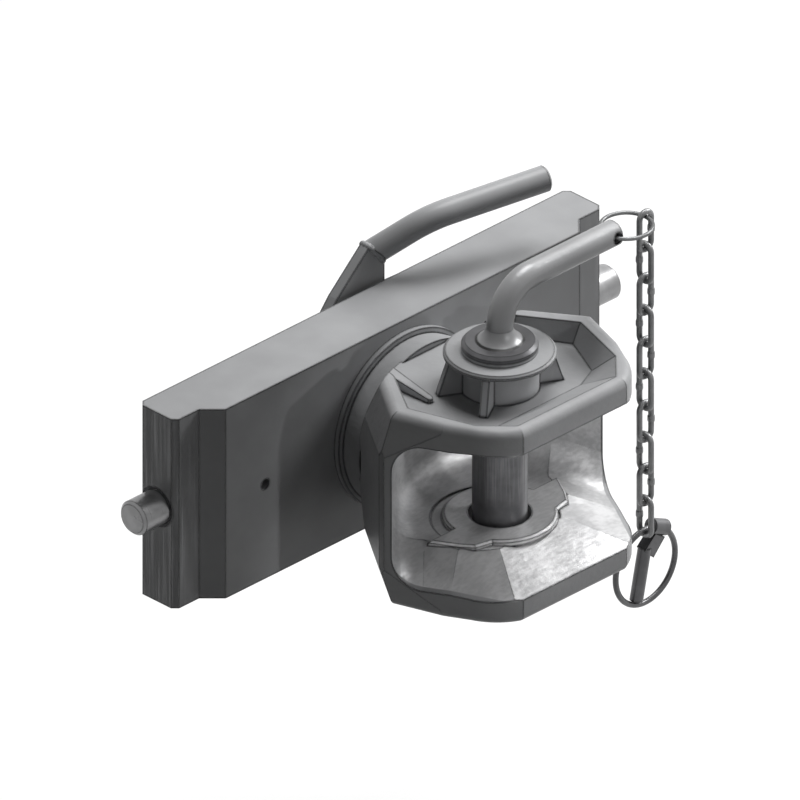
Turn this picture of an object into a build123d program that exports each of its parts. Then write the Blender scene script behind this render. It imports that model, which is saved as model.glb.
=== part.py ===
from build123d import *

import os
from math import asin, cos, degrees, radians, sin, sqrt

# A swivelling tractor towing hitch on a height-adjustable carriage plate, in millimetres.
# Origin: centre of the carriage plate, where the locking bolts' axis crosses the swivel axis.
# +X runs along the plate, +Y towards the tractor, +Z up. The jaw opens towards -Y.

# Carriage plate
plate_length = 390.0
plate_height = 140.6
tongue_thickness = 33.5
tongue_run = 21.8
front_step = 12.15
end_chamfer = 3.7

# Locking bolts and their springs
bolt_diameter = 24.0
bolt_protrusion = 22.5
bolt_clearance = 0.1
bolt_tip_chamfer = 2.0
wiper_groove_width = 2.2
wiper_groove_depth = 0.6
bolt_length_inside = 70.0
bolt_bore_depth = 133.0
bore_mouth_chamfer = 2.0
grease_hole_diameter = 7.3
grease_hole_inset = 70.0
drive_pin_inset = 55.0
drive_pin_diameter = 12.0
drive_pin_depth = 8.0
drive_shoulder_diameter = 18.0
spring_diameter = 21.0
spring_wire = 2.6
spring_turns = 7

# Swivel bearing and its brake
shank_diameter = 48.0
shank_clearance = 0.05
bush_wall = 5.0
bush_recess = 0.3
hub_flange_margin = 4.0
hub_flange_thickness = 5.0
hub_radius = 35.0
hub_screw_circle = 44.0
hub_screw_radius = 4.0
hub_screw_length = 20.0
thread_diameter = 36.0
thread_shoulder = 0.5
thrust_washer_radius = 33.0
thrust_washer_thickness = 5.0
disc_spring_radius = 30.0
disc_spring_thickness = 2.2
disc_spring_cone = 1.3
nut_across_flats = 55.0
nut_hex_height = 16.0
nut_corner_chamfer = 3.0
crown_radius = 22.5
crown_height = 9.0
crown_slot = 7.0
split_pin_diameter = 6.0
split_pin_eye = 2.8
shank_tail = 4.0
shank_end_chamfer = 2.0

# Release lever, its rocker pins and the links
lever_thickness = 8.0
lever_play = 0.3
lever_swing = 28.0
rocker_radius = 50.0
rocker_pin_diameter = 12.0
rocker_lug_radius = 13.0
lever_ring_radius = 52.0
link_thickness = 6.0
link_gap = 0.5
link_eye_radius = 10.5
link_half_width = 8.0
link_slack = 0.8
pin_play = 0.05
clip_thickness = 1.5
clip_radius = 9.0
lever_bar_diameter = 17.6
lever_edge_low = (34.5, 79.4)
lever_edge_high = (21.0, 96.0)
lever_shoulder = (-9.0, 68.7)
lever_left_flank = (-46.0, 24.0)
lever_right_flank = (34.5, 20.0)
lever_bar_bend = (56.8, 4.3, 110.0)
lever_bar_end = (138.7, -21.6, 117.2)
lever_bar_radius = 52.0
lever_bar_chamfer = 1.5

# Jaw, seen from above: right-hand half of its outline
rear_corner = (60.0, -50.0)
side_corner = (97.8, -105.0)
widest_corner = (98.6, -110.2)
cheek_corner = (71.4, -161.3)
nose_bulge = (61.6, -176.0)
nose_corner = (47.0, -186.0)
jaw_half_height = 71.6
crest_radius = 6.5
throat_radius = 80.6
throat_fillet = 18.0
throat_y = -133.0
floor_level = 38.0
floor_corners = [(77.0, -30.0), (55.5, -111.0), (50.0, -129.5), (27.0, -143.0)]
lip_level = 54.0
lip_corners = [(130.0, -30.0), (102.0, -106.0), (79.5, -151.0), (54.0, -186.5)]
pad_level = 35.5
pad_corners = [(59.4, -110.6), (49.0, -128.8), (42.2, -137.6), (26.0, -141.2)]
pad_radius = 37.5
pad_chamfer = 1.6
spot_face_radius = 42.0
spot_face_offset = 4.0
spot_face_depth = 1.2
recess_level = 57.7
recess_floor_corners = [(44.0, -49.0), (51.0, -77.0), (72.0, -112.0), (56.0, -145.0),
                        (38.0, -153.0)]
recess_rim_corners = [(47.0, -44.0), (55.5, -77.0), (78.5, -112.5), (63.5, -159.5),
                      (45.0, -178.5)]
side_draft = 9.0
draft_depth = 30.0
cheek_draft_corner = (89.5, -112.0)
cheek_draft_end = (76.0, -152.658)
shell_slope = 4 / 3
flange_radius = 62.7
flange_thickness = 4.6
neck_front = -52.0
gusset_x = 46.0
gusset_tip_y = -101.8
gusset_tip_width = 4.8
gusset_rear_width = 10.0
gusset_rear_y = -44.0
gusset_rear_level = 69.5
gusset_tip_level = 60.8

# Towing pin and the boss that guides it
pin_diameter = 36.0
pin_y = -117.4
pin_foot = -100.0
pin_play_top = 0.1
pin_hole_diameter = 41.0
guide_bush_diameter = 44.0
boss_diameter = 51.0
boss_disc_diameter = 73.6
boss_disc_thickness = 4.0
boss_top = 85.5
boss_rib_thickness = 5.5
boss_rib_foot = 42.0
collar_diameter = 50.0
pin_washer_thickness = 2.6
collar_thickness = 4.6
collar_chamfer = 2.3
linch_hole_z = -85.0
linch_hole_diameter = 10.4
flare_diameter = 32.8
handle_diameter = 17.5
handle_level = 130.0
handle_bend = 28.0
handle_end = 105.0
handle_hole_x = 99.6
handle_hole_diameter = 8.0

# Key ring, chain, linch pin
key_ring_radius = 17.0
key_ring_wire = 2.8
chain_links = 10
link_pitch = 23.6
link_width = 14.6
link_wire = 4.0
hook_play = 0.05
linch_ring_radius = 27.0
linch_ring_wire = 4.0
linch_diameter = 9.0
linch_lean = 12.0
linch_head_angle = 25.0
linch_head_length = 14.0
linch_neck = (-0.5, 14.0)
linch_head_diameter = 11.0
linch_tip_play = 1.15

# Places that follow from the sizes above
rear_face = tongue_thickness / 2
front_face = -rear_face - front_step
half_length = plate_length / 2
bolt_inner_end = half_length - bolt_length_inside
bolt_bore_end = half_length - bolt_bore_depth
grease_hole_x = half_length - grease_hole_inset
drive_pin_x = half_length - drive_pin_inset
hub_flange_radius = rocker_radius + hub_flange_margin
half_height = plate_height / 2
step_foot = half_length - tongue_run
bolt_radius = bolt_diameter / 2
bore_radius = bolt_radius + bolt_clearance
shank_radius = shank_diameter / 2
thread_radius = thread_diameter / 2
bush_bore = shank_radius + shank_clearance
hub_face = rear_face + hub_flange_thickness
lever_front = hub_face + lever_play
lever_rear = lever_front + lever_thickness
hub_rear = lever_rear + lever_play
link_front = lever_rear + link_gap
link_rear = link_front + link_thickness
clip_front = link_rear + link_gap
clip_rear = clip_front + clip_thickness
half_swing = radians(lever_swing / 2)
bolt_travel = 2 * rocker_radius * sin(half_swing)
rocker_x = rocker_radius * sin(half_swing)
rocker_z = rocker_radius * cos(half_swing)
link_lift = rocker_radius - rocker_z
pin_radius = pin_diameter / 2
disc_foot = boss_top - boss_disc_thickness
collar_foot = boss_top + pin_washer_thickness
collar_top = collar_foot + collar_thickness
handle_radius = handle_diameter / 2
flare_top = handle_level - handle_bend
ring_x = handle_hole_x - 1.2 + key_ring_radius
chain_x = ring_x + key_ring_radius
eye_radius = (link_width - link_wire) / 2
link_inside = link_pitch + hook_play
chain_top = handle_level + key_ring_wire / 2 + hook_play


def turned(profile, origin=(0, 0, 0), along=(0, 0, 1)):
    """A turned solid: profile holds (radius, height) points around the section."""
    section = Plane.XZ * Polygon(*profile, align=None)
    return Plane(origin, z_dir=along) * revolve(section, Axis.Z)


def rod(start, end, radius):
    """A round bar, or the drill for a round hole, between two centre points."""
    reach = Vector(*end) - Vector(*start)
    bar = Cylinder(radius, reach.length, align=(Align.CENTER, Align.CENTER, Align.MIN))
    return Plane(Vector(*start), z_dir=reach) * bar


def tube(start, end, outer, inner):
    """A washer, bush or ring between two centre points."""
    return rod(start, end, outer) - rod(start, end, inner)


def prism(points, low, high):
    """A plan outline raised from one level to another."""
    return Pos(0, 0, low) * extrude(Polygon(*points, align=None), high - low, dir=(0, 0, 1))


def both_sides(points):
    """A right-hand half outline, given from rear to front, closed by its mirror image."""
    return points + [(-x, y) for x, y in reversed(points)]


def vertical_edges_at(body, places):
    """The upright edges of a body at the given (x, y) places."""
    def there(edge):
        middle = edge.center()
        return any(abs(middle.X - x) < 0.05 and abs(middle.Y - y) < 0.05 for x, y in places)
    return body.edges().filter_by(Axis.Z).filter_by(there)


# Carriage plate: flame-cut, milled slab with a guide tongue at each end.
def carriage_plate():
    right = [(half_length, rear_face), (half_length, -rear_face), (step_foot, -rear_face),
             (step_foot - front_step, front_face)]
    plate = prism(both_sides(right), -half_height, half_height)
    corners = [(side * half_length, end * rear_face) for side in (-1, 1) for end in (-1, 1)]
    plate = chamfer(vertical_edges_at(plate, corners), end_chamfer)
    plate -= rod((0, front_face - 1, 0), (0, rear_face + 1, 0), bush_bore + bush_wall)
    for side in (-1, 1):
        mouth = half_length - bore_mouth_chamfer
        bore = [(0, bolt_bore_end), (bore_radius, bolt_bore_end), (bore_radius, mouth),
                (bore_radius + bore_mouth_chamfer + 1, half_length + 1), (0, half_length + 1)]
        plate -= turned(bore, along=(side, 0, 0))
        plate -= rod((side * grease_hole_x, front_face - 1, 0), (side * grease_hole_x, 0, 0),
                     grease_hole_diameter / 2)
        slot_half = drive_pin_diameter / 2 + 0.3
        for x in (drive_pin_x, drive_pin_x - bolt_travel):
            plate -= rod((side * x, 0, 0), (side * x, rear_face + 1, 0), slot_half)
        slot_middle = side * (drive_pin_x - bolt_travel / 2)
        plate -= Pos(slot_middle, rear_face / 2 + 0.5, 0) * Box(
            bolt_travel, rear_face + 1, 2 * slot_half)
    for x, z in screw_places():
        plate -= rod((x, rear_face - hub_screw_length, z), (x, rear_face + 1, z),
                     hub_screw_radius)
    return plate


def screw_places():
    """Where the hub's four screws stand, as (x, z)."""
    spread = hub_screw_circle * cos(radians(45))
    return [(i * spread, k * spread) for i in (-1, 1) for k in (-1, 1)]


# Bronze bush that the jaw's shank turns in, pressed into the plate.
def shank_bush():
    return tube((0, front_face + bush_recess, 0), (0, rear_face, 0),
                bush_bore + bush_wall - pin_play, bush_bore)


# Flanged ring screwed to the plate's rear: the release lever turns on its outside.
def lever_hub():
    bore = bush_bore + 0.35
    hub = turned([(bore, rear_face), (hub_flange_radius, rear_face),
                  (hub_flange_radius, hub_face), (hub_radius, hub_face),
                  (hub_radius, hub_rear), (bore, hub_rear)], along=(0, 1, 0))
    for x, z in screw_places():
        head = [(0, rear_face - 1), (hub_screw_radius + 0.1, rear_face - 1),
                (hub_screw_radius + 0.1, rear_face), (2 * hub_screw_radius + 0.1, hub_face),
                (2 * hub_screw_radius + 0.1, hub_face + 1), (0, hub_face + 1)]
        hub -= turned(head, origin=(x, 0, z), along=(0, 1, 0))
    return hub


def hub_screws():
    screws = []
    for x, z in screw_places():
        screw = turned([(0, rear_face - hub_screw_length + 2), (hub_screw_radius - 0.05,
                        rear_face - hub_screw_length + 2), (hub_screw_radius - 0.05, rear_face),
                        (2 * hub_screw_radius - 0.05, hub_face), (0, hub_face)],
                       origin=(x, 0, z), along=(0, 1, 0))
        socket = Plane((x, hub_face - 3, z), z_dir=(0, 1, 0)) * extrude(RegularPolygon(2.9, 6), 4)
        screws.append(screw - socket)
    return Compound(screws)


# Locking bolts: round bars that slide out of the tongues into the tractor's ladder rails.
def locking_bolt(side):
    tip = half_length + bolt_protrusion
    bolt = turned([(0, bolt_inner_end), (bolt_radius - 1, bolt_inner_end),
                   (bolt_radius, bolt_inner_end + 1),
                   (bolt_radius, half_length - wiper_groove_width),
                   (bolt_radius - wiper_groove_depth, half_length - wiper_groove_width),
                   (bolt_radius - wiper_groove_depth, half_length), (bolt_radius, half_length),
                   (bolt_radius, tip - bolt_tip_chamfer),
                   (bolt_radius - bolt_tip_chamfer, tip), (0, tip)], along=(side, 0, 0))
    return bolt - rod((side * drive_pin_x, -drive_pin_depth, 0),
                      (side * drive_pin_x, bolt_radius + 1, 0),
                      drive_pin_diameter / 2 + pin_play)


# Drive pin: stands in the bolt, passes the plate's slot and carries the link's slack eye.
def drive_pin(side):
    radius = drive_pin_diameter / 2
    shoulder = drive_shoulder_diameter / 2
    return turned([(0, -drive_pin_depth), (radius, -drive_pin_depth),
                   (radius, rear_face + link_gap), (shoulder, rear_face + link_gap),
                   (shoulder, link_front - 0.3), (radius, link_front - 0.3),
                   (radius, clip_rear + 2), (0, clip_rear + 2)],
                  origin=(side * drive_pin_x, 0, 0), along=(0, 1, 0))


def clip(x, z):
    """A retaining ring sprung onto a pin's end."""
    return tube((x, clip_front, z), (x, clip_rear, z), clip_radius,
                drive_pin_diameter / 2 + 0.02)


# Bolt spring: a wire coil between the blind end of the bore and the bolt.
def bolt_spring(side):
    coil = (spring_diameter - spring_wire) / 2
    low = bolt_bore_end + spring_wire / 2 + 0.2
    high = bolt_inner_end - spring_wire / 2 - 0.2
    path = Helix((high - low) / spring_turns, high - low, coil)
    wire = Plane(path @ 0, z_dir=path % 0) * Circle(spring_wire / 2)
    spring = sweep(wire, path=path, is_frenet=True)
    return Plane((side * low, 0, 0), z_dir=(side, 0, 0)) * spring


# Jaw: one heavy forging with its neck, flange and shank; the towing pin's boss is on top.
def jaw_plan():
    right = Polyline(rear_corner, side_corner, widest_corner, cheek_corner)
    nose = ThreePointArc(cheek_corner, nose_bulge, nose_corner)
    outline = right + nose
    outline += mirror(outline, Plane.YZ)
    outline += Line(nose_corner, (-nose_corner[0], nose_corner[1]))
    outline += Line(rear_corner, (-rear_corner[0], rear_corner[1]))
    return make_face(outline)


def throat():
    """The mouth's hollow: a round back wall, cheeks flared at 45 degrees, funnel-shaped arms."""
    tangent = throat_radius * cos(radians(45))
    wall_corner = 2 * tangent + throat_y
    reach = 2 * widest_corner[0]
    cheek = Polyline((tangent, wall_corner - tangent), (reach, wall_corner - reach),
                     (reach, 2 * nose_corner[1]), (0, 2 * nose_corner[1]))
    outline = cheek + mirror(cheek, Plane.YZ) + CenterArc((0, throat_y), throat_radius, 45, 90)
    hollow = extrude(make_face(outline), lip_level, both=True)
    hollow -= funnel_floor() + mirror(funnel_floor(), Plane.XY)

    def at_wall(edge):
        middle = edge @ 0.5
        on_arc = abs(sqrt(middle.X ** 2 + (middle.Y - throat_y) ** 2) - throat_radius) < 0.01
        on_cheek = abs(abs(middle.X) + middle.Y - wall_corner) < 0.01
        return (on_arc or on_cheek) and abs(middle.Z) > floor_level - 0.01
    return fillet(hollow.edges().filter_by(at_wall), throat_fillet)


def funnel_floor():
    """The arm under the hollow: flat round the pin, sloping down to the lips."""
    return loft([Pos(0, 0, -floor_level) * Polygon(*both_sides(floor_corners), align=None),
                 Pos(0, 0, -lip_level) * Polygon(*both_sides(lip_corners), align=None)],
                ruled=True)


def pad():
    """The raised wear face round the lower pin hole, which the drawbar eye slides on."""
    foot = -floor_level - 2
    plate = prism(both_sides(pad_corners), foot, -pad_level)
    disc = rod((0, pin_y, foot), (0, pin_y, -pad_level), pad_radius)
    plate, disc = [chamfer(raised.faces().sort_by(Axis.Z)[-1].edges(), pad_chamfer)
                   for raised in (plate, disc)]
    return plate + disc


def spot_face():
    """The shallow crescent that was milled beside the pad."""
    return rod((-spot_face_offset, pin_y, -floor_level - spot_face_depth),
               (-spot_face_offset, pin_y, -floor_level + 1), spot_face_radius)


def recess():
    """The weight-saving hollow in the top of the jaw, with sloping walls inside the rim."""
    floor, rim = both_sides(recess_floor_corners), both_sides(recess_rim_corners)
    return loft([Pos(0, 0, recess_level) * Polygon(*floor, align=None),
                 Pos(0, 0, jaw_half_height + 0.1) * Polygon(*rim, align=None)], ruled=True)


def draft_cuts():
    """Wedges that lean the jaw's rear sides and cheeks inwards towards its top and bottom."""
    low, top = jaw_half_height - draft_depth, jaw_half_height
    run = Vector(side_corner[0] - rear_corner[0], side_corner[1] - rear_corner[1], 0).normalized()
    leaned = Vector(*rear_corner, top) - Vector(-run.Y, run.X, 0) * side_draft
    cuts = []
    for a, b, c in [((*rear_corner, low), (*side_corner, low), tuple(leaned)),
                    ((*widest_corner, low), (*cheek_draft_end, top), (*cheek_draft_corner, top))]:
        outward = (Vector(*b) - Vector(*a)).cross(Vector(*c) - Vector(*a)).normalized()
        outward = outward if outward.Z > 0 else -outward
        size = 4 * widest_corner[0]
        wedge = Plane(a, z_dir=outward) * Box(
            size, size, draft_depth, align=(Align.CENTER, Align.CENTER, Align.MIN))
        cuts += [wedge, mirror(wedge, Plane.YZ)]
    return cuts + [mirror(cut, Plane.XY) for cut in cuts]


def boss():
    """The pin's guide on the recess floor, a disc on four tapered ribs."""
    radius = boss_diameter / 2
    body = rod((0, pin_y, recess_level - 3), (0, pin_y, disc_foot), radius)
    body += turned([(0, disc_foot), (boss_disc_diameter / 2 - 1, disc_foot),
                    (boss_disc_diameter / 2, disc_foot + 1),
                    (boss_disc_diameter / 2, boss_top - 1.5),
                    (boss_disc_diameter / 2 - 1.5, boss_top), (0, boss_top)],
                   origin=(0, pin_y, 0))
    for angle in (30, 150, 210, 330):
        rib = Polygon((radius - 2, recess_level - 3), (boss_rib_foot, recess_level - 3),
                      (boss_rib_foot, recess_level + 1), (boss_disc_diameter / 2 - 2, disc_foot),
                      (radius - 2, disc_foot), align=None)
        web = extrude(Plane.XZ * rib, boss_rib_thickness / 2, both=True)
        body += Pos(0, pin_y, 0) * Rot(0, 0, angle) * web
    return body


def gusset(side):
    """A tapered rib from the neck, lying down on the recess floor with a rounded tip."""
    foot = recess_level - 3
    tip = gusset_tip_width / 2
    plan = Polygon((-gusset_rear_width / 2, gusset_rear_y), (gusset_rear_width / 2, gusset_rear_y),
                   (tip, gusset_tip_y + tip), (-tip, gusset_tip_y + tip), align=None)
    plan += Pos(0, gusset_tip_y + tip) * Circle(tip)
    rise = Polygon((gusset_rear_y, foot), (gusset_rear_y, gusset_rear_level),
                   (gusset_tip_y, gusset_tip_level), (gusset_tip_y, foot), align=None)
    rib = prism_of(plan, foot, jaw_half_height)
    rib &= extrude(Plane.YZ * rise, gusset_rear_width, both=True)
    return Pos(side * gusset_x, 0, 0) * rib


def prism_of(plan, low, high):
    """A plan raised from one level to another."""
    return Pos(0, 0, low) * extrude(plan, high - low, dir=(0, 0, 1))


def jaw_casting():
    body = extrude(jaw_plan(), jaw_half_height, both=True)
    for cut in draft_cuts():
        body -= cut
    crest = body.faces().filter_by(Axis.Z)
    front_edges = [edge for face in crest for edge in face.edges()
                   if edge.center().Y < rear_corner[1] - 1]
    body = fillet(front_edges, crest_radius)
    body -= recess() + mirror(recess(), Plane.XY)
    body += gusset(-1) + gusset(1)
    far = nose_corner[1] - crest_radius
    shell_reach = flange_radius + shell_slope * widest_corner[0]
    body &= turned([(0, rear_corner[1]), (flange_radius, rear_corner[1]),
                    (shell_reach, rear_corner[1] - widest_corner[0]), (shell_reach, far),
                    (0, far)], along=(0, 1, 0))
    body -= throat()
    body -= spot_face() + mirror(spot_face(), Plane.XY)
    body += pad() + mirror(pad(), Plane.XY)
    neck = turned([(0, neck_front), (flange_radius - 0.5, neck_front),
                   (flange_radius - 4, front_face - flange_thickness),
                   (flange_radius, front_face - flange_thickness),
                   (flange_radius, front_face), (shank_radius, front_face),
                   (shank_radius, hub_rear - thread_shoulder),
                   (thread_radius, hub_rear - thread_shoulder),
                   (thread_radius, shank_end - shank_end_chamfer),
                   (thread_radius - shank_end_chamfer, shank_end), (0, shank_end)],
                  along=(0, 1, 0))
    body += neck
    body += boss()
    body -= rod((0, pin_y, 0), (0, pin_y, boss_top + 1), guide_bush_diameter / 2)
    body -= rod((0, pin_y, 0), (0, pin_y, -jaw_half_height - 1), pin_hole_diameter / 2)
    body -= rod((-shank_radius, split_pin_y, 0), (shank_radius, split_pin_y, 0),
                split_pin_diameter / 2 + 0.3)
    return body


# Hardened bush in the boss, in which the towing pin slides.
def pin_guide_bush():
    return tube((0, pin_y, pad_level), (0, pin_y, boss_top),
                guide_bush_diameter / 2 - 0.02, pin_radius + pin_play_top)


# Brake stack on the shank: thrust washer, two disc springs, castle nut and split pin.
spring_front = hub_rear + thrust_washer_thickness
disc_spring_height = disc_spring_thickness + disc_spring_cone
nut_front = spring_front + 2 * disc_spring_height
crown_front = nut_front + nut_hex_height
split_pin_y = crown_front + crown_height / 2
shank_end = crown_front + crown_height + shank_tail


def thrust_washer():
    return tube((0, hub_rear, 0), (0, spring_front, 0), thrust_washer_radius,
                thread_radius + 0.2)


def brake_disc_springs():
    inner = thread_radius + 0.4
    dish = [(inner, disc_spring_cone), (disc_spring_radius, 0),
            (disc_spring_radius, disc_spring_thickness), (inner, disc_spring_height)]
    front = turned(dish, origin=(0, spring_front, 0), along=(0, 1, 0))
    rear = turned(dish, origin=(0, nut_front, 0), along=(0, -1, 0))
    return Compound([front, rear])


def castle_nut():
    hexagon = RegularPolygon(nut_across_flats / 2, 6, major_radius=False)
    nut = Plane((0, nut_front, 0), z_dir=(0, 1, 0)) * extrude(hexagon, nut_hex_height)
    peak = nut_across_flats / 2 + 0.5
    far, drop = peak + 2 * nut_corner_chamfer, nut_corner_chamfer
    nut &= turned([(0, nut_front), (peak, nut_front), (far, nut_front + drop),
                   (far, crown_front - drop), (peak, crown_front), (0, crown_front)],
                  along=(0, 1, 0))
    nut += rod((0, crown_front, 0), (0, crown_front + crown_height, 0), crown_radius)
    for turn in range(3):
        slot = Box(2 * crown_radius + 2, crown_height, crown_slot)
        nut -= Rot(0, 60 * turn, 0) * Pos(0, split_pin_y + 1, 0) * slot
    return nut - rod((0, nut_front - 1, 0), (0, shank_end, 0), thread_radius + 0.04)


def nut_split_pin():
    """A doubled wire through the crown, with an eye at one end and open legs at the other."""
    radius = split_pin_diameter / 2
    head = crown_radius + radius
    pin = rod((-head, split_pin_y, 0), (head, split_pin_y, 0), radius)
    eye_reach = split_pin_eye + radius / 2
    pin += Pos(-head - eye_reach + 0.8, split_pin_y, 0) * Torus(split_pin_eye, radius / 2)
    for lean in (-1, 1):
        pin += rod((head - 1, split_pin_y, 0), (head + 2 * radius, split_pin_y, lean * 3 * radius),
                   radius / 2)
    return pin


# Towing pin: a turned bar with a collar; its foot is cross-drilled for the linch pin.
def towing_pin():
    collar = collar_diameter / 2
    pin = turned([(0, pin_foot), (pin_radius - 3, pin_foot), (pin_radius, pin_foot + 3),
                  (pin_radius, collar_foot), (collar, collar_foot),
                  (collar, collar_top - collar_chamfer), (collar - collar_chamfer, collar_top),
                  (0, collar_top)], origin=(0, pin_y, 0))
    return pin - rod((-pin_radius - 1, pin_y, linch_hole_z), (pin_radius + 1, pin_y, linch_hole_z),
                     linch_hole_diameter / 2)


def pin_washer():
    return tube((0, pin_y, boss_top), (0, pin_y, collar_foot), collar_diameter / 2,
                pin_radius + 0.05)


# Handle: a bent round bar forged out into a concave foot on the pin's collar.
def pin_handle():
    foot_radius = flare_diameter / 2
    rise = flare_top - collar_top
    waist = (handle_radius + 2.2, collar_top + 0.45 * rise)
    edge = Line((0, collar_top), (foot_radius, collar_top))
    edge += Spline((foot_radius, collar_top), waist, (handle_radius, flare_top))
    edge += Line((handle_radius, flare_top), (0, flare_top)) + Line((0, flare_top), (0, collar_top))
    foot = Pos(0, pin_y, 0) * revolve(Plane.XZ * make_face(edge), Axis.Z)
    section = Pos(0, pin_y, flare_top) * Circle(handle_radius)
    bend = revolve(section, Axis((handle_bend, pin_y, flare_top), (0, 1, 0)), 90)
    bar = turned([(0, handle_bend), (handle_radius, handle_bend),
                  (handle_radius, handle_end - 1.5), (handle_radius - 1.5, handle_end),
                  (0, handle_end)], origin=(0, pin_y, handle_level), along=(1, 0, 0))
    return foot + bend + bar - rod((handle_hole_x, pin_y - handle_radius - 1, handle_level),
                                   (handle_hole_x, pin_y + handle_radius + 1, handle_level),
                                   handle_hole_diameter / 2)


# Key ring, chain and linch pin hang from the handle's end.
def key_ring():
    return Pos(ring_x, pin_y, handle_level) * Torus(key_ring_radius, key_ring_wire / 2)


def chain_link(number):
    """A bent and welded wire link; each stands a quarter turn from the one above."""
    straight = link_inside - 2 * (eye_radius - link_wire / 2)
    shoulder = straight / 2
    section = Pos(eye_radius, 0, shoulder) * Circle(link_wire / 2)
    arch = revolve(section, Axis((0, 0, shoulder), (0, -1, 0)), 180)
    link = arch + mirror(arch, Plane.XY)
    for side in (-1, 1):
        link += rod((side * eye_radius, 0, -shoulder), (side * eye_radius, 0, shoulder),
                    link_wire / 2)
    centre = chain_top - link_inside / 2 - (number - 1) * link_pitch
    return Pos(chain_x, pin_y, centre) * Rot(0, 0, 90 * ((number - 1) % 2)) * link


last_link_inside = chain_top - link_inside - (chain_links - 1) * link_pitch
linch_ring_z = last_link_inside + linch_ring_wire / 2 + hook_play - linch_ring_radius


def linch_ring():
    ring = Torus(linch_ring_radius, linch_ring_wire / 2)
    return Plane((chain_x, pin_y, linch_ring_z), z_dir=(0, 1, 0)) * ring


def linch_pin():
    turn = radians(linch_head_angle)
    tangent = Vector(cos(turn), 0, -sin(turn))
    middle = Vector(chain_x + linch_ring_radius * sin(turn), pin_y,
                    linch_ring_z + linch_ring_radius * cos(turn))
    start = middle - tangent * (linch_head_length / 2)
    end = middle + tangent * (linch_head_length / 2)
    head = rod(tuple(start), tuple(end), linch_head_diameter / 2)
    lean = radians(linch_lean)
    down = Vector(-sin(lean), 0, -cos(lean))
    neck = Vector(chain_x + linch_neck[0], pin_y, linch_ring_z + linch_neck[1])
    reach = linch_ring_radius - linch_ring_wire / 2 - linch_tip_play
    drop = ring_crossing(neck, down, reach)
    body = rod(tuple(neck), tuple(neck + down * drop), linch_diameter / 2)
    web = Polygon((neck.X - 3.6, neck.Z), (start.X + 0.6, start.Z - 4.6),
                  (end.X - 3.6, end.Z - 4.2), (neck.X + 4.2, neck.Z - 8.0), align=None)
    body += Pos(0, pin_y, 0) * extrude(Plane.XZ * web, linch_diameter / 2 - 0.6, both=True)
    run = sqrt(linch_ring_radius ** 2 - (linch_head_length / 2) ** 2)
    sagitta = linch_ring_radius - run
    bore = linch_ring_wire / 2 * linch_ring_radius / run + sagitta + hook_play
    return body + head - rod(tuple(start - tangent), tuple(end + tangent), bore)


def ring_crossing(start, along, reach):
    """How far a line runs from a point inside the ring to a circle of the given radius."""
    across = (start.X - chain_x) * along.X + (start.Z - linch_ring_z) * along.Z
    square = (start.X - chain_x) ** 2 + (start.Z - linch_ring_z) ** 2
    return -across + sqrt(across ** 2 - square + reach ** 2)


# Release lever: a rocker plate on the hub, with a bent round bar welded on as its handle.
def lever_plate():
    pin_places = [(rocker_x, rocker_z), (-rocker_x, -rocker_z)]
    plan = Circle(lever_ring_radius) + Polygon(
        lever_edge_low, lever_edge_high, lever_shoulder, lever_left_flank, lever_right_flank,
        align=None)
    for place in pin_places:
        plan += Pos(*place) * Circle(rocker_lug_radius)
    plan -= Circle(hub_radius + pin_play)
    for place in pin_places:
        plan -= Pos(*place) * Circle(rocker_pin_diameter / 2 + 0.02)
    return Pos(0, lever_rear, 0) * extrude(Plane.XZ * plan, lever_thickness, dir=(0, -1, 0))


def lever_handle():
    middle = [(low + high) / 2 for low, high in zip(lever_edge_low, lever_edge_high)]
    foot = Vector(middle[0], (lever_front + lever_rear) / 2, middle[1])
    bend = Vector(*lever_bar_bend)
    end = Vector(*lever_bar_end)
    first = (bend - foot).normalized()
    last = (end - bend).normalized()
    turn = radians(first.get_angle(last))
    trim = lever_bar_radius * sin(turn / 2) / cos(turn / 2)
    radius = lever_bar_diameter / 2
    straight = rod(tuple(foot - first * 12), tuple(bend - first * trim), radius)
    normal = first.cross(last).normalized()
    centre = bend - first * trim + normal.cross(first) * lever_bar_radius
    section = Plane(bend - first * trim, z_dir=first) * Circle(radius)
    elbow = revolve(section, Axis(centre, normal), degrees(turn))
    tip = end - last * lever_bar_chamfer
    outer = rod(tuple(bend + last * trim), tuple(tip), radius)
    outer += turned([(0, 0), (radius, 0), (radius - lever_bar_chamfer, lever_bar_chamfer),
                     (0, lever_bar_chamfer)], origin=tip, along=last)
    edge = Vector(lever_edge_high[0] - lever_edge_low[0], 0, lever_edge_high[1] - lever_edge_low[1])
    outward = Vector(edge.Z, 0, -edge.X).normalized()
    span = 4 * lever_bar_diameter
    behind = Plane(foot, z_dir=-outward) * Box(
        span, span, span / 2, align=(Align.CENTER, Align.CENTER, Align.MIN))
    return straight + elbow + outer - behind


def rocker_pins():
    places = [(rocker_x, rocker_z), (-rocker_x, -rocker_z)]
    return Compound([rod((x, lever_front, z), (x, clip_rear + 2, z), rocker_pin_diameter / 2)
                     for x, z in places])


def rocker_clips():
    return Compound([clip(rocker_x, rocker_z), clip(-rocker_x, -rocker_z)])


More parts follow.
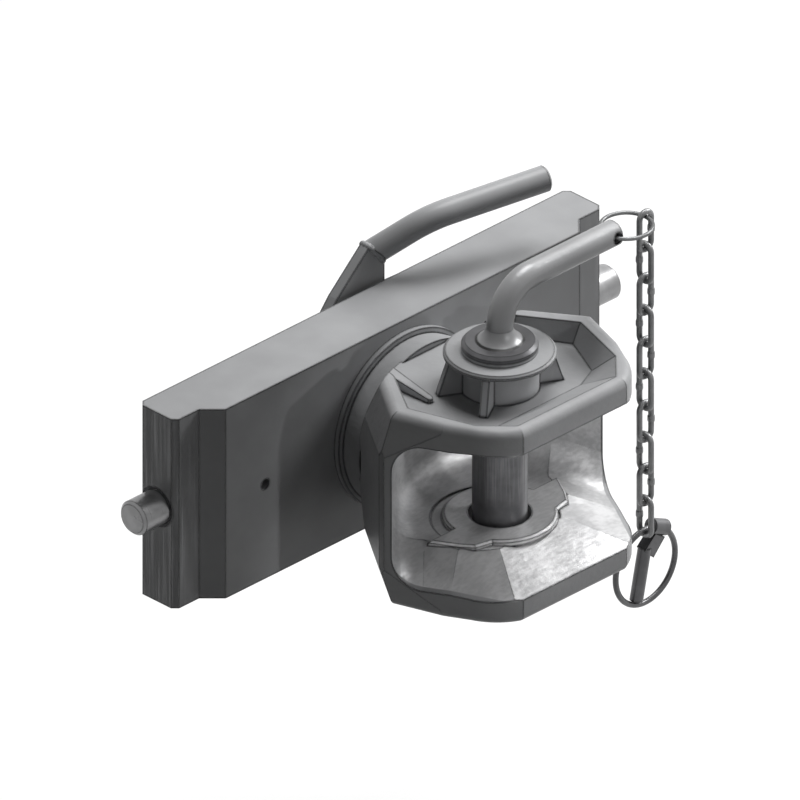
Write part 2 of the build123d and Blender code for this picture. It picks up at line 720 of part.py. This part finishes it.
# Link: a cranked flat bar from a rocker pin to a bolt's drive pin, clear of the brake nut.
def bolt_link(side):
    elbow = (62.0, rocker_z - 2.5)
    spine = [(rocker_x, rocker_z), elbow, (drive_pin_x, -link_lift / 2)]
    plan = Pos(*spine[0]) * Circle(link_eye_radius) + Pos(*spine[2]) * Circle(link_eye_radius)
    plan += Pos(*elbow) * Circle(link_half_width)
    for (x0, z0), (x1, z1) in zip(spine, spine[1:]):
        length = sqrt((x1 - x0) ** 2 + (z1 - z0) ** 2)
        angle = degrees(asin((z1 - z0) / length))
        bar = Rot(0, 0, angle) * Rectangle(length, 2 * link_half_width)
        plan += Pos((x0 + x1) / 2, (z0 + z1) / 2) * bar
    plan -= Pos(*spine[0]) * Circle(rocker_pin_diameter / 2 + pin_play)
    plan -= Pos(*spine[2]) * Circle(drive_pin_diameter / 2 + link_slack)
    link = Pos(0, link_rear, 0) * extrude(Plane.XZ * plan, link_thickness, dir=(0, -1, 0))
    return link if side > 0 else Rot(0, 180, 0) * link


parts = {
    "carriage_plate": carriage_plate(),
    "shank_bush": shank_bush(),
    "lever_hub": lever_hub(),
    "hub_screws": hub_screws(),
    "jaw_casting": jaw_casting(),
    "pin_guide_bush": pin_guide_bush(),
    "thrust_washer": thrust_washer(),
    "brake_disc_springs": brake_disc_springs(),
    "castle_nut": castle_nut(),
    "nut_split_pin": nut_split_pin(),
    "pin_washer": pin_washer(),
    "towing_pin": towing_pin(),
    "pin_handle": pin_handle(),
    "key_ring": key_ring(),
    "linch_ring": linch_ring(),
    "linch_pin": linch_pin(),
    "lever_plate": lever_plate(),
    "lever_handle": lever_handle(),
    "rocker_pins": rocker_pins(),
    "rocker_clips": rocker_clips(),
}
for number in range(1, chain_links + 1):
    parts[f"chain_link_{number:02d}"] = chain_link(number)
for name, side in (("left", -1), ("right", 1)):
    parts[f"{name}_locking_bolt"] = locking_bolt(side)
    parts[f"{name}_drive_pin"] = drive_pin(side)
    parts[f"{name}_drive_clip"] = clip(side * drive_pin_x, 0)
    parts[f"{name}_bolt_spring"] = bolt_spring(side)
    parts[f"{name}_bolt_link"] = bolt_link(side)

os.makedirs("parts", exist_ok=True)
for name, piece in parts.items():
    export_step(piece, f"parts/{name}.step")
print(f"bolt travel {bolt_travel:.3f} mm, ratio {bolt_travel / radians(lever_swing):.4f} mm/rad")
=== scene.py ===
from math import cos, pi, radians, sin

import bmesh
import bpy
from mathutils import Matrix, Vector


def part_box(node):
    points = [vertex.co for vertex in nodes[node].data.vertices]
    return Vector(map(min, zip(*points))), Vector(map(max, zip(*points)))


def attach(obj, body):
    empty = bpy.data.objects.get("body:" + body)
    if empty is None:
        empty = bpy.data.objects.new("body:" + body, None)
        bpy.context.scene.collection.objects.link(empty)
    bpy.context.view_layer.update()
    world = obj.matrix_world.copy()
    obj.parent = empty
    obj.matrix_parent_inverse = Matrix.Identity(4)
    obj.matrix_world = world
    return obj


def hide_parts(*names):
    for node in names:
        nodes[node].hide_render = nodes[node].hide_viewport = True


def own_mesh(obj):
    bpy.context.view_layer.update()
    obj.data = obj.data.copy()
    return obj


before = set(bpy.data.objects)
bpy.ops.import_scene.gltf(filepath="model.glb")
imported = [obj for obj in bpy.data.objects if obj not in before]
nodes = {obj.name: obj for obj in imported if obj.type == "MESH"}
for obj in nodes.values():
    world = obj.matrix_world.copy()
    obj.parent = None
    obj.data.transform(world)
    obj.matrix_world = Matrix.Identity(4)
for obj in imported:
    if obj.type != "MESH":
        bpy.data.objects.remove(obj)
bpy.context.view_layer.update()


# Studio: a pale floor below the hanging hitch, a softbox overhead and one at the right, and a
# narrow snoot that reaches into the jaw's mouth. The floor and the room are white to the
# camera and in reflections, and darker as bounce light, so that the upright faces stay deep.
class Wire:
    """A node's output. Sums and products of wires and numbers add their Math nodes."""

    def __init__(self, finish, socket):
        self.finish, self.socket = finish, socket

    def maths(self, operation, first, second=0.0):
        return self.finish.node("Math", {0: first, 1: second}, operation=operation)

    def __add__(self, other):
        return self.maths("ADD", self, other)

    def __sub__(self, other):
        return self.maths("SUBTRACT", self, other)

    def __rsub__(self, other):
        return self.maths("SUBTRACT", other, self)

    def __mul__(self, other):
        return self.maths("MULTIPLY", self, other)

    def __or__(self, other):
        return self.maths("MAXIMUM", self, other)

    def __abs__(self):
        return self.maths("ABSOLUTE", self)

    __radd__ = __add__
    __rmul__ = __mul__


class Finish:
    """A surface made of nodes, with one shader that they feed."""

    def __init__(self, owner, shader="Principled BSDF"):
        owner.use_nodes = True
        self.owner, self.tree = owner, owner.node_tree
        self.shader = self.tree.nodes[shader]

    def node(self, kind, inputs={}, out=0, **settings):
        made = self.tree.nodes.new("ShaderNode" + kind)
        for name, value in settings.items():
            setattr(made, name, value)
        for name, value in inputs.items():
            self.feed(made.inputs[name], value)
        return Wire(self, made.outputs[out])

    def feed(self, socket, value):
        if isinstance(value, Wire):
            self.tree.links.new(value.socket, socket)
        else:
            socket.default_value = value

    def shade(self, **values):
        for name, value in values.items():
            self.feed(self.shader.inputs[name.replace("_", " ")], value)

    def mix(self, share, low, high):
        return self.node("Mix", {0: share, 6: low, 7: high}, out=2, data_type="RGBA")

    def rise(self, value, low, high):
        return self.node("MapRange", {"Value": value, "From Min": low, "From Max": high},
                         interpolation_type="SMOOTHSTEP")


def seen(finish):
    """1 for the camera and for reflections, 0 for bounce light."""
    camera_ray, mirror_ray, glass_ray = [
        finish.node("LightPath", out=f"Is {kind} Ray")
        for kind in ("Camera", "Glossy", "Transmission")]
    return camera_ray | mirror_ray | glass_ray


def grey(level):
    return (level, level, level, 1.0)


bounce_light = 0.05
room = Finish(bpy.data.worlds.new("room"), "Background")
bpy.context.scene.world = room.owner
room.shade(Color=grey(1.0), Strength=bounce_light + (1 - bounce_light) * seen(room))

floor_reach, floor_level = 4.0, -0.30
floor_mesh = bpy.data.meshes.new("floor")
floor_mesh.from_pydata([(x * floor_reach, y * floor_reach, floor_level)
                        for x, y in ((-1, -1), (1, -1), (1, 1), (-1, 1))], [], [(0, 1, 2, 3)])
floor = bpy.data.objects.new("floor", floor_mesh)
bpy.context.collection.objects.link(floor)
pale = Finish(bpy.data.materials.new("floor"))
in_view = seen(pale)
pale.shade(Base_Color=pale.mix(in_view, grey(0.10), grey(0.30)), Roughness=0.9,
           Emission_Color=pale.mix(in_view, grey(0.0), grey(0.76)), Emission_Strength=1.0)
floor_mesh.materials.append(pale.owner)


def hang(name, lamp, place, aim):
    light = bpy.data.objects.new(name, lamp)
    light.location = place
    light.rotation_euler = (Vector(aim) - Vector(place)).to_track_quat("-Z", "Y").to_euler()
    bpy.context.collection.objects.link(light)
    return light


for name, place, aim, size, watts in (
        ("overhead softbox", (0.50, 0.12, 1.50), (0.0, -0.05, 0.0), 0.8, 18.5),
        ("right softbox", (1.50, -0.35, 1.05), (0.05, -0.10, 0.0), 0.7, 27.0)):
    lamp = bpy.data.lights.new(name, "AREA")
    lamp.size, lamp.energy = size, watts
    hang(name, lamp, place, aim).visible_camera = False

snoot = bpy.data.lights.new("mouth snoot", "SPOT")
snoot.energy, snoot.spot_size, snoot.spot_blend = 48.0, radians(7.2), 0.7
snoot.shadow_soft_size = 0.10
hang("mouth snoot", snoot, (0.14, -1.05, 0.27), (0.0, -0.12, -0.010))

right, up = Vector((0.70711, -0.70711, 0.0)), Vector((0.35355, 0.35355, 0.86603))
towards = right.cross(up)
aim_right, aim_down, camera_reach = 0.01873, 0.00026, 2.0
lens = bpy.data.cameras.new("camera")
lens.type, lens.ortho_scale, lens.clip_end = "ORTHO", 0.515, 20.0
camera = bpy.data.objects.new("camera", lens)
stance = Matrix((right, up, towards)).transposed().to_4x4()
camera.matrix_world = Matrix.Translation(
    right * aim_right - up * aim_down + towards * camera_reach) @ stance
bpy.context.collection.objects.link(camera)
bpy.context.scene.camera = camera
bpy.context.scene.view_settings.view_transform = "Standard"


# Carriage plate: a thick slab, flame-cut and milled, with a guide tongue at each end that
# slides in the tractor's rails. Grey satin paint over the milled faces; the tongues are
# rubbed bright in upright streaks where they slide.
def noise(skin, scale, detail):
    return skin.node("TexNoise", {"Vector": skin.place, "Scale": scale, "Detail": detail})


def streaks(skin, stretch, detail=3.0):
    """Noise drawn out along an axis: stretch gives its waves to the metre on each."""
    drawn = skin.node("VectorMath", {0: skin.place, 1: stretch}, operation="MULTIPLY")
    return skin.node("TexNoise", {"Vector": drawn, "Scale": 1.0, "Detail": detail})


def axis(skin, letter):
    return skin.node("SeparateXYZ", {0: skin.place}, out=letter)


def edge_line(skin, radius):
    """1 along sharp edges, where the finish has gone and dark oxide shows as a fine line."""
    rounded = skin.node("Bevel", {"Radius": radius}, samples=4)
    facing = skin.node("NewGeometry", out="Normal")
    bend = skin.node("VectorMath", {0: rounded, 1: facing}, out="Value",
                     operation="DOT_PRODUCT")
    return skin.rise(1.0 - bend, 0.004, 0.016)


def tinted(colour, share):
    return [part * share for part in colour] + [1.0]


def painted_steel(name, paint, lump, relief, gloss, line_width=0.0021):
    """Satin paint on steel: lumps of the raw surface, a fine grain, and dark worn edges."""
    skin = Finish(bpy.data.materials.new(name))
    skin.place = skin.node("TexCoord", out="Object")
    lumps = noise(skin, 1 / lump, 5.0)
    grain = noise(skin, 1400.0, 2.0)
    cloud = noise(skin, 22.0, 3.0)
    skin.line = edge_line(skin, line_width)
    tone = skin.mix(skin.rise(cloud, 0.3, 0.7), tinted(paint, 0.92), tinted(paint, 1.07))
    worn = skin.line * skin.rise(grain + lumps, 0.30, 0.70)
    skin.colour = skin.mix(worn, tone, grey(0.004))
    skin.rough = gloss + 0.16 * (grain - 0.5) + 0.10 * (cloud - 0.5)
    grain_relief = 0.00003
    height = lumps * relief + grain * grain_relief
    skin.shade(Base_Color=skin.colour, Roughness=skin.rough, Specular_IOR_Level=0.3,
               Normal=skin.node("Bump", {"Height": height, "Distance": 1.0, "Strength": 0.8}))
    return skin


def dress(finish, *names):
    """The CAD node keeps its shape and takes this finish."""
    for name in names:
        nodes[name].data.materials.clear()
        nodes[name].data.materials.append(finish.owner)


tongue_start, rub_fade = 0.1745, 0.0020
plate = painted_steel("milled plate paint", (0.325, 0.328, 0.335), 0.009, 0.00012, 0.42)
rubbed = plate.rise(abs(axis(plate, "X")), tongue_start, tongue_start + rub_fade)
shine = rubbed * plate.rise(streaks(plate, (900.0, 900.0, 14.0)), 0.45, 0.75) * 0.30
plate.shade(Base_Color=plate.mix(shine, plate.colour, (0.36, 0.36, 0.37, 1.0)),
            Metallic=shine * 0.7, Roughness=plate.rough - 0.10 * shine)
dress(plate, "carriage_plate")


# Jaw: a steel drop forging with neck, flange and shank in one piece, painted like the plate
# but rougher. The drawbar eye and its bar rub the mouth's floor, slopes and back wall bare;
# that bare steel is also spread pale over the whole mouth as painted light, standing in for
# light where the jaw's arms shade its inside.
jaw = painted_steel("forged jaw paint", (0.315, 0.318, 0.325), 0.006, 0.00035, 0.46)
across, ahead, height = abs(axis(jaw, "X")), axis(jaw, "Y"), abs(axis(jaw, "Z"))


def plan_distance(skin, x, y):
    """How far a point of the surface lies from an upright axis."""
    offset = skin.node("VectorMath", {0: skin.place, 1: (x, y, 0.0)}, operation="SUBTRACT")
    flat = skin.node("VectorMath", {0: offset, 1: (1.0, 1.0, 0.0)}, operation="MULTIPLY")
    return skin.node("VectorMath", {0: flat}, out="Value", operation="LENGTH")


# The mouth is bare and painted pale inside its round back wall or between its cheeks, and short
# of the rims and of the outer sides, which lean inwards above a height: partly rubbed-bare
# wear, partly a painted pool of light where the arms shade the inside.
throat_y, throat_radius, cheek_line = -0.133, 0.0806, -0.0190
cheek_end, rim_height = -0.0745, 0.0550
side_normal_x, side_normal_y, side_reach = 0.8827, -0.470, 0.1384
side_lean, lean_start = 0.26, 0.0410
back_wall = jaw.rise(plan_distance(jaw, 0.0, throat_y), throat_radius + 0.0020,
                     throat_radius + 0.0008)
cheeks = (jaw.rise(across + ahead, cheek_line + 0.0018, cheek_line + 0.0006)
          * jaw.rise(ahead, cheek_end, cheek_end - 0.0030))
lean = side_lean * ((height - lean_start) | 0.0)
inside = jaw.rise(side_normal_x * across + side_normal_y * ahead + lean, side_reach,
                  side_reach - 0.0008)
mouth = (back_wall | cheeks) * inside * jaw.rise(height, rim_height, rim_height - 0.0020)
scuffs = streaks(jaw, (160.0, 420.0, 420.0), 4.0)
patches = noise(jaw, 34.0, 3.0)
# Partly wear, partly painted light: at least most of the mouth turns pale metallic steel, so its
# shaded inside reads lit.
bare_and_painted_light = mouth * (0.62 + 0.38 * jaw.rise(scuffs + 0.6 * patches, 0.60, 0.95))
bare_lit_colour = jaw.mix(jaw.rise(patches, 0.35, 0.65), (0.50, 0.50, 0.505, 1.0),
                      (0.60, 0.60, 0.605, 1.0))
jaw.shade(Base_Color=jaw.mix(bare_and_painted_light * (1.0 - jaw.line), jaw.colour, bare_lit_colour),
          Metallic=bare_and_painted_light * 0.55, Roughness=jaw.rough - 0.03 * bare_and_painted_light)
dress(jaw, "jaw_casting")


# Swivel bearing: a bronze bush pressed into the plate, the hardened guide bush in the jaw's
# boss, and the brake stack of thrust washer, disc springs, castle nut and split pin.
def bare_metal(name, tone, shine, gloss, stretch, marks=0.000012):
    """Machined or drawn metal: tool marks along the turning direction, stains, dark edges."""
    skin = Finish(bpy.data.materials.new(name))
    skin.place = skin.node("TexCoord", out="Object")
    turning = streaks(skin, stretch)
    stain = noise(skin, 75.0, 4.0)
    line = edge_line(skin, 0.0014)
    clean = skin.mix(skin.rise(stain, 0.35, 0.65), tinted(tone, 0.82), tinted(tone, 1.10))
    skin.colour = skin.mix(0.85 * line, clean, grey(0.006))
    skin.rough = gloss + 0.22 * (turning - 0.5) + 0.16 * (stain - 0.5)
    skin.shade(Base_Color=skin.colour, Metallic=shine, Roughness=skin.rough,
               Normal=skin.node("Bump", {"Height": turning * marks, "Distance": 1.0}))
    return skin


around_y, around_z = (50.0, 1500.0, 50.0), (50.0, 50.0, 1500.0)
dress(bare_metal("bearing bronze", (0.42, 0.27, 0.12), 0.85, 0.38, around_y), "shank_bush")
dress(bare_metal("hardened bush steel", (0.17, 0.17, 0.175), 0.6, 0.34, around_z),
      "pin_guide_bush")
dress(bare_metal("blued spring steel", (0.11, 0.115, 0.135), 0.6, 0.32, around_y),
      "brake_disc_springs", "thrust_washer")
zinc_tone = (0.30, 0.305, 0.31)
zinced = bare_metal("zinc plated steel", zinc_tone, 0.55, 0.40, (300.0, 300.0, 300.0), 0.00002)
dress(zinced, "castle_nut", "nut_split_pin", "hub_screws")


# Thread on the shank's tail: a rolled ridge, three millimetres to the turn, which shows in
# the castle nut's slots and behind the nut.
def bead(name, path, girth, finish, body, closed=False, sides=12):
    """A ridge of metal laid along a path: girth gives its radius at each point."""
    mesh, form = bpy.data.meshes.new(name), bmesh.new()
    count, askew = len(path), Vector((0.31, 0.87, 0.38))
    rings = []
    for i, point in enumerate(path):
        after = path[(i + 1) % count] if closed or i < count - 1 else point
        before = path[i - 1] if closed or i else point
        run = (after - before).normalized()
        side = run.cross(askew).normalized()
        rise = run.cross(side)
        rings.append([form.verts.new(point + girth(i) * (
            side * cos(2 * pi * k / sides) + rise * sin(2 * pi * k / sides)))
            for k in range(sides)])
    for i in range(count if closed else count - 1):
        low, high = rings[i], rings[(i + 1) % count]
        for k in range(sides):
            form.faces.new((low[k], low[(k + 1) % sides], high[(k + 1) % sides], high[k]))
    if not closed:
        form.faces.new(rings[0])
        form.faces.new(rings[-1])
    bmesh.ops.recalc_face_normals(form, faces=form.faces)
    for face in form.faces:
        face.smooth = True
    form.to_mesh(mesh)
    form.free()
    mesh.materials.append(finish.owner)
    piece = bpy.data.objects.new(name, mesh)
    bpy.context.collection.objects.link(piece)
    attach(piece, body)
    return piece


thread_radius, thread_pitch = 0.0178, 0.003
thread_start, thread_end = 0.0592, 0.0692
ridge_height, ridge_foot, run_out = 0.0009, 0.0001, 12
steps_a_turn = 60
thread_steps = int((thread_end - thread_start) / thread_pitch * steps_a_turn)
helix = [Vector((thread_radius * cos(2 * pi * i / steps_a_turn),
                 thread_start + thread_pitch * i / steps_a_turn,
                 thread_radius * sin(2 * pi * i / steps_a_turn))) for i in range(thread_steps)]


def thread_height(i):
    return ridge_height * min(1.0, i / run_out, (thread_steps - 1 - i) / run_out) + ridge_foot


thread_steel = bare_metal("rolled thread steel", (0.22, 0.22, 0.225), 0.6, 0.36, around_y)
tail_thread = bead("shank_thread", helix, thread_height, thread_steel, "jaw", sides=8)


# Locking bolts: bright turned bars that slide out of the tongues, with their drive pins,
# retaining rings and the coil springs that push them out.
around_x = (1500.0, 50.0, 50.0)
dress(bare_metal("turned bolt steel", (0.36, 0.36, 0.365), 0.5, 0.33, around_x),
      "left_locking_bolt", "right_locking_bolt")
spring_wire = bare_metal("drawn spring wire", (0.13, 0.13, 0.135), 0.6, 0.35, (90.0, 90.0, 90.0))
dress(spring_wire, "left_drive_clip", "right_drive_clip")
dress(bare_metal("turned pin steel", zinc_tone, 0.55, 0.38, around_y),
      "left_drive_pin", "right_drive_pin")

coil_radius, coil_wire, coil_turns, coil_steps = 0.0092, 0.0013, 8, 36
coil_low, coil_high, bolt_stroke, bore_end = 0.0635, 0.1235, 0.0243, 0.062
open_length = coil_high - coil_low - 4 * coil_wire
for side in (-1, 1):
    hand = "right" if side > 0 else "left"
    coil_path = []
    for i in range(coil_turns * coil_steps + 1):
        turned = i / coil_steps
        closed_turns = min(turned, 1.0) + max(turned - coil_turns + 1.0, 0.0)
        open_share = (turned - closed_turns) / (coil_turns - 2)
        along = coil_low + 2 * coil_wire * closed_turns + open_length * open_share
        coil_path.append(Vector((side * along, coil_radius * cos(2 * pi * turned),
                                 coil_radius * sin(2 * pi * turned))))
    coil = bead(f"{hand}_bolt_coil", coil_path, lambda i: coil_wire, spring_wire, "carriage",
                sides=10)
    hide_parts(f"{hand}_bolt_spring")
    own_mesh(coil)


# Towing pin: a forged and turned bar with a collar, its bent handle welded on. The shaft is
# dark with polished bands where it runs in the jaw; the handle keeps a mill scale skin.
pin_steel = bare_metal("towing pin steel", (0.10, 0.10, 0.105), 0.55, 0.36, around_z)
level = axis(pin_steel, "Z")
band_edge, band_middle = 0.026, 0.010
contact = (pin_steel.rise(level, -band_edge, -band_middle)
           * pin_steel.rise(level, band_edge, band_middle))
polish = contact * pin_steel.rise(streaks(pin_steel, (700.0, 700.0, 25.0)), 0.40, 0.68) * 0.22
pin_steel.shade(Base_Color=pin_steel.mix(polish, pin_steel.colour, (0.34, 0.34, 0.35, 1.0)),
                Roughness=pin_steel.rough - 0.08 * polish)
dress(pin_steel, "towing_pin")
handle = painted_steel("forged handle skin", (0.33, 0.332, 0.338), 0.004, 0.00016, 0.34)
handle.shade(Metallic=0.2)
dress(handle, "pin_handle")
dress(zinced, "pin_washer", "key_ring")


# Chain: ten links of bent zinc plated wire, each closed by a resistance weld that leaves a
# small collar in the middle of one side.
chain_zinc = bare_metal("chain zinc", (0.34, 0.343, 0.348), 0.45, 0.36, (420.0, 420.0, 420.0),
                        0.00003)
wire_radius, weld_half, weld_rise, weld_sink = 0.002, 0.0028, 0.0007, 0.0001
weld_stations = 13


def weld_girth(i):
    share = i / (weld_stations - 1)
    return wire_radius - weld_sink + weld_rise * sin(pi * share) ** 0.7 * (
        1.0 + 0.12 * sin(9.0 * share))


for number in range(1, 11):
    name = f"chain_link_{number:02d}"
    dress(chain_zinc, name)
    low, high = [Vector(corner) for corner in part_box(name)]
    middle, half = (low + high) / 2, (high - low) / 2
    side = Vector((1, 0, 0)) if half.x > half.y else Vector((0, 1, 0))
    seat = middle + side * (max(half.x, half.y) - wire_radius)
    path = [seat + Vector((0, 0, weld_half * (2 * i / (weld_stations - 1) - 1)))
            for i in range(weld_stations)]
    weld = bead(f"chain_weld_{number:02d}", path, weld_girth, chain_zinc, name, sides=20)


# Linch pin and its ring: a zinc plated pin with a bored head on a sprung wire ring. Both
# have dulled to a dark grey.
dress(bare_metal("linch pin steel", (0.13, 0.13, 0.135), 0.5, 0.36, around_z), "linch_pin")
dress(bare_metal("linch ring wire", (0.17, 0.17, 0.175), 0.6, 0.33, (120.0, 120.0, 120.0)),
      "linch_ring")


# Release lever: a flame-cut rocker plate with its round bar welded on, both painted grey,
# on a painted hub, with two cranked links to the bolts.
lever = painted_steel("lever paint", (0.345, 0.348, 0.355), 0.008, 0.00010, 0.34)
dress(lever, "lever_plate", "lever_handle", "left_bolt_link", "right_bolt_link", "lever_hub")
dress(zinced, "rocker_pins")
dress(spring_wire, "rocker_clips")

foot = Vector((0.02775, 0.02605, 0.0877))
edge_way, depth_way = Vector((-0.631, 0.0, 0.776)), Vector((0.0, 1.0, 0.0))
half_run, half_depth, corner, overshoot = 0.0089, 0.0043, 0.0022, 1.6
weld_steps, weld_radius = 96, 0.0023


def along_side(half, share):
    """Place along one side of a rounded oblong, held back by its corner's radius."""
    return max(corner - half, min(half - corner, overshoot * half * share)) + corner * share


weld_path = []
for step in range(weld_steps):
    angle = 2 * pi * step / weld_steps
    weld_path.append(foot + edge_way * along_side(half_run, cos(angle))
                     + depth_way * along_side(half_depth, sin(angle)))


def ripple(i):
    return weld_radius + 0.00022 * sin(2 * pi * i / 4) + 0.00015 * sin(i * 0.7)


weld_skin = painted_steel("painted weld", (0.32, 0.323, 0.33), 0.002, 0.00030, 0.42, 0.0002)
lever_weld = bead("lever_bar_weld", weld_path, ripple, weld_skin, "release_lever", closed=True)
